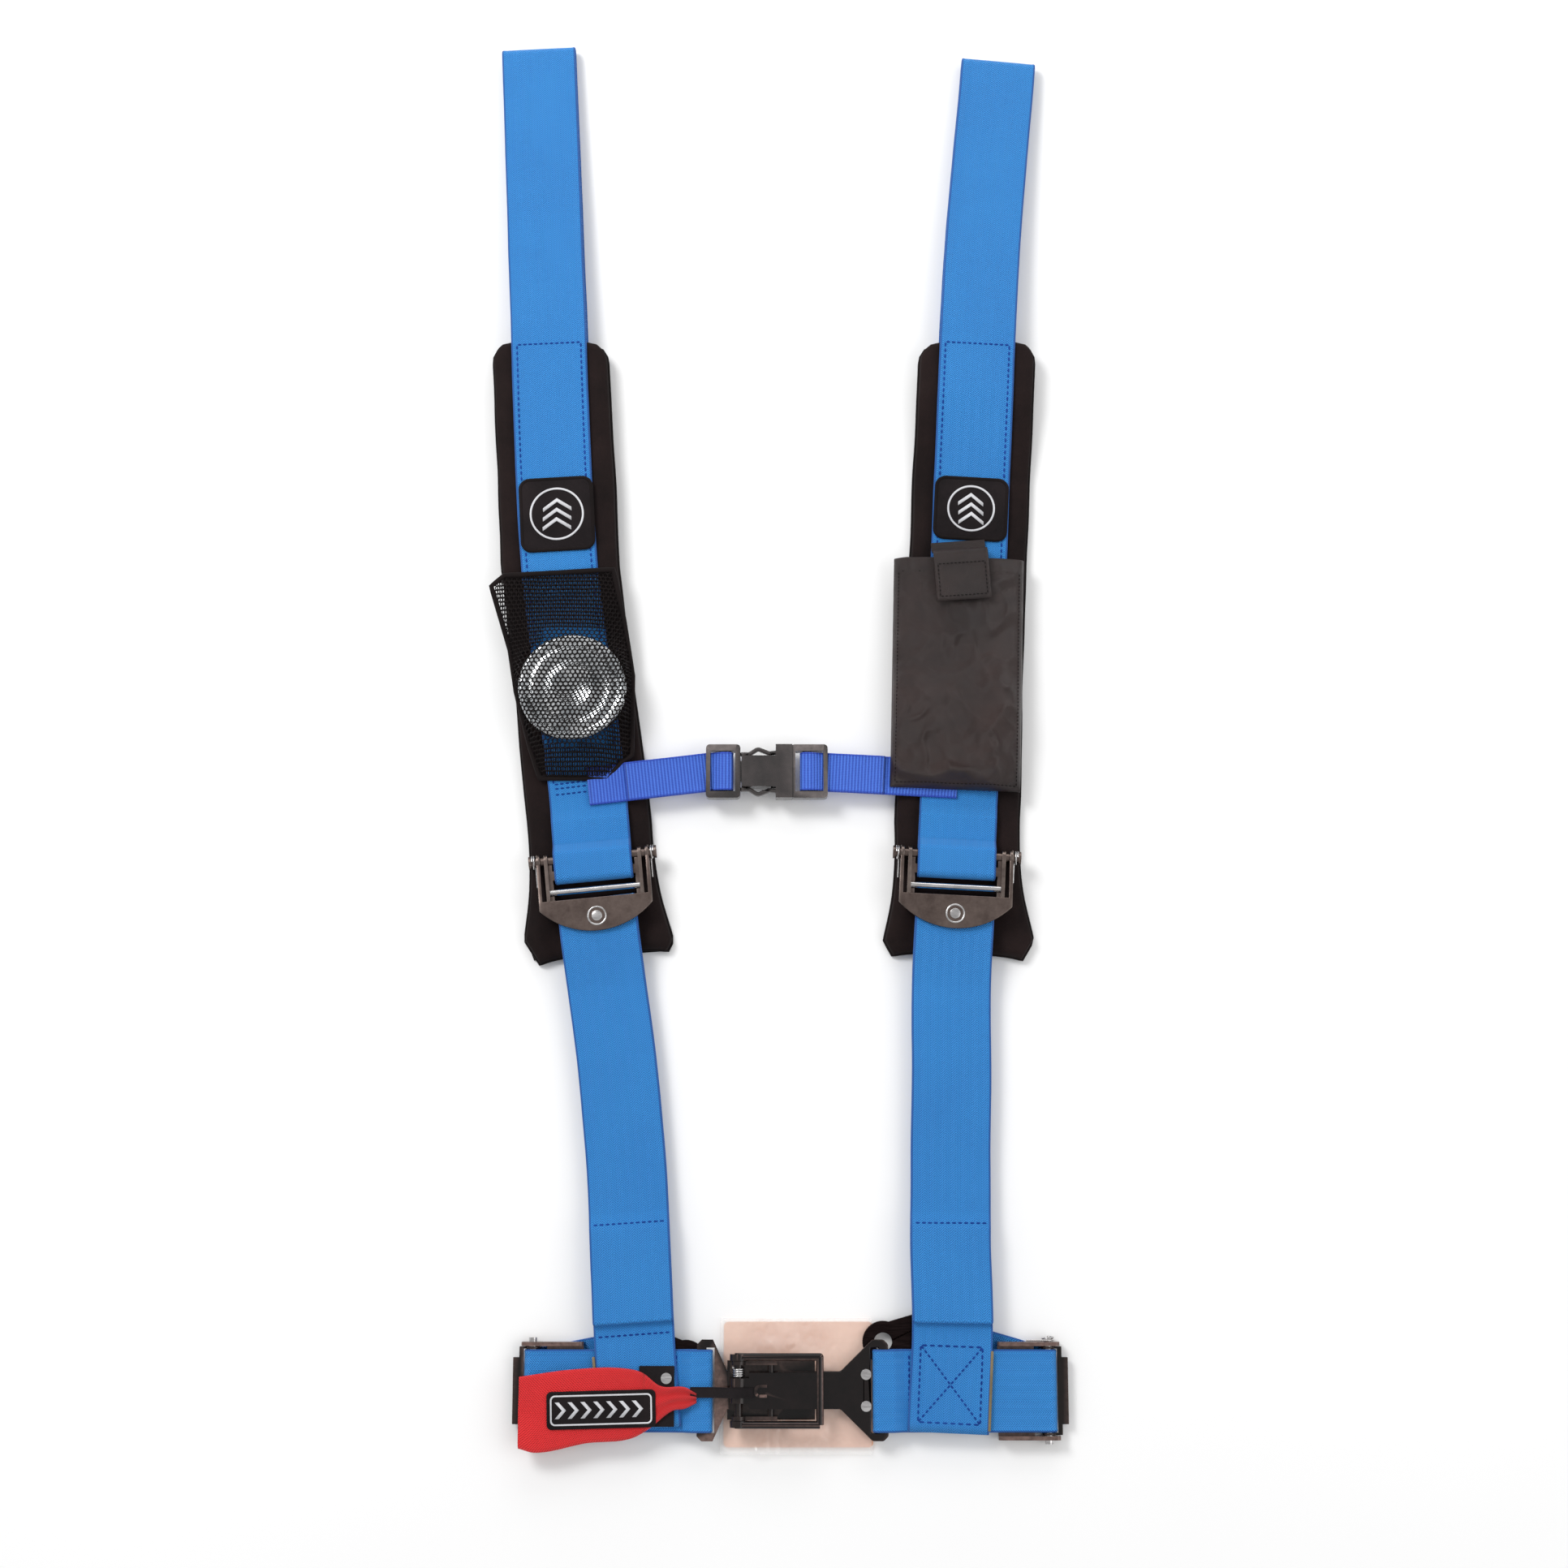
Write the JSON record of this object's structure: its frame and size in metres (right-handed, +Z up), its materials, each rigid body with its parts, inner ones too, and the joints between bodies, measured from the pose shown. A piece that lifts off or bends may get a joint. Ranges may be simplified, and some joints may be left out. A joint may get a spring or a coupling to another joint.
{
  "type": "racing harness",
  "caption": "Racing harness laid flat: padded shoulder belts, lap belts, cam adjusters, lever latch, chest strap with side-release buckle, and two pockets.",
  "frame": {"origin": "centre of the underside of the harness laid flat", "axes": "+Y from the lap belts to the shoulder ends, +Z up out of the front, +X to the right of the picture"},
  "size_m": [0.3742, 0.9404, 0.0304],
  "materials": {
    "belt_webbing": "herringbone woven two-inch webbing, slight sheen",
    "chest_webbing": "ribbed one-inch webbing",
    "pad_fabric": "plain woven cover fabric with bound edges",
    "pad_lining": "matte lining",
    "pad_foam": "closed-cell foam, hidden",
    "patch_fabric": null,
    "adjuster_steel": "satin gunmetal",
    "bright_steel": "bright plated",
    "latch_steel": "gloss dark coated",
    "red_webbing": "woven red webbing, fused edges",
    "label_fabric": null,
    "hook_loop": "hook-and-loop tape",
    "mesh_fabric": "open knitted mesh, bound edges",
    "pouch_fabric": "satin nylon",
    "tin_metal": "spun bright metal",
    "buckle_plastic": "moulded acetal, satin",
    "backing_card": "tan padded card",
    "clear_film": "thin clear sheet"
  },
  "bodies": {
    "left_half": {"left_shoulder_strap": "belt_webbing", "left_pad_cover": "pad_fabric", "left_pad_lining": "pad_lining", "left_pad_foam": "pad_foam", "left_emblem_patch": "patch_fabric", "left_adjuster_frame": "adjuster_steel", "left_adjuster_pin": "bright_steel", "left_adjuster_bars": "bright_steel", "left_adjuster_springs": "bright_steel", "left_lower_strap": "belt_webbing", "left_lap_strap": "belt_webbing", "left_lap_adjuster_frame": "adjuster_steel", "left_lap_adjuster_bar": "bright_steel", "left_lap_adjuster_spring": "bright_steel", "left_mounting_tabs": "bright_steel", "mesh_pocket": "mesh_fabric", "tin_body": "tin_metal", "tin_lid": "tin_metal", "release_strap": "red_webbing", "release_label": "label_fabric", "release_cord": "red_webbing", "hook_loop_tab": "hook_loop", "snap_rivet": "bright_steel", "latch_base": "latch_steel", "latch_pivot_pin": "bright_steel", "latch_cross_pin": "bright_steel", "latch_spring": "bright_steel", "backing_pad": "backing_card", "clear_film": "clear_film", "chest_strap_left": "chest_webbing", "buckle_male": "buckle_plastic", "buckle_prongs": "buckle_plastic"},
    "right_half": {"right_shoulder_strap": "belt_webbing", "right_pad_cover": "pad_fabric", "right_pad_lining": "pad_lining", "right_pad_foam": "pad_foam", "right_emblem_patch": "patch_fabric", "right_adjuster_frame": "adjuster_steel", "right_adjuster_pin": "bright_steel", "right_adjuster_bars": "bright_steel", "right_adjuster_springs": "bright_steel", "right_lower_strap": "belt_webbing", "right_lap_strap": "belt_webbing", "right_lap_adjuster_frame": "adjuster_steel", "right_lap_adjuster_bar": "bright_steel", "right_lap_adjuster_spring": "bright_steel", "right_mounting_tabs": "bright_steel", "phone_pouch": "pouch_fabric", "closure_strip": "hook_loop", "link_plate": "latch_steel", "link_rivets": "bright_steel", "chest_strap_right": "chest_webbing", "buckle_female": "buckle_plastic"},
    "latch_lever": {"latch_lever": "latch_steel"},
    "left_adjuster_lever": {"left_adjuster_lever": "adjuster_steel"},
    "right_adjuster_lever": {"right_adjuster_lever": "adjuster_steel"},
    "left_lap_lever": {"left_lap_adjuster_lever": "latch_steel"},
    "right_lap_lever": {"right_lap_adjuster_lever": "latch_steel"},
    "pouch_flap": {"pouch_flap": "pouch_fabric"}
  },
  "joints": [
    {"name": "right_half_slide", "type": "slide", "parent": "left_half", "child": "right_half", "axis": [1, 0, 0], "range_m": [0, 0.06], "deforming": ["buckle_prongs"]},
    {"name": "latch_lever_hinge", "type": "hinge", "parent": "left_half", "child": "latch_lever", "pos_m": [-0.0198, -0.4325, 0.0138], "axis": [0, -1, 0], "range_deg": [0, 110], "deforming": ["release_cord"]},
    {"name": "left_adjuster_hinge", "type": "hinge", "parent": "left_half", "child": "left_adjuster_lever", "pos_m": [-0.1155, -0.096, 0.0137], "axis": [-0.9954, -0.0958, 0], "range_deg": [0, 70], "stiffness_Nm_per_rad": 0.05},
    {"name": "right_adjuster_hinge", "type": "hinge", "parent": "right_half", "child": "right_adjuster_lever", "pos_m": [0.1208, -0.0945, 0.0137], "axis": [-0.9986, 0.0523, 0], "range_deg": [0, 70], "stiffness_Nm_per_rad": 0.05},
    {"name": "left_lap_hinge", "type": "hinge", "parent": "left_half", "child": "left_lap_lever", "pos_m": [-0.1495, -0.433, 0.00525], "axis": [0, 1, 0], "range_deg": [0, 35], "stiffness_Nm_per_rad": 0.02},
    {"name": "right_lap_hinge", "type": "hinge", "parent": "right_half", "child": "right_lap_lever", "pos_m": [0.1748, -0.433, 0.00525], "axis": [0, -1, 0], "range_deg": [0, 35], "stiffness_Nm_per_rad": 0.02},
    {"name": "pouch_flap_hinge", "type": "hinge", "parent": "right_half", "child": "pouch_flap", "pos_m": [0.1255, 0.116, 0.0118], "axis": [-1, 0, 0], "range_deg": [0, 110]}
  ],
  "couplings": [
    {"joint": "latch_lever_hinge", "follows": "right_half_slide", "rad_per_m": 31.9}
  ]
}
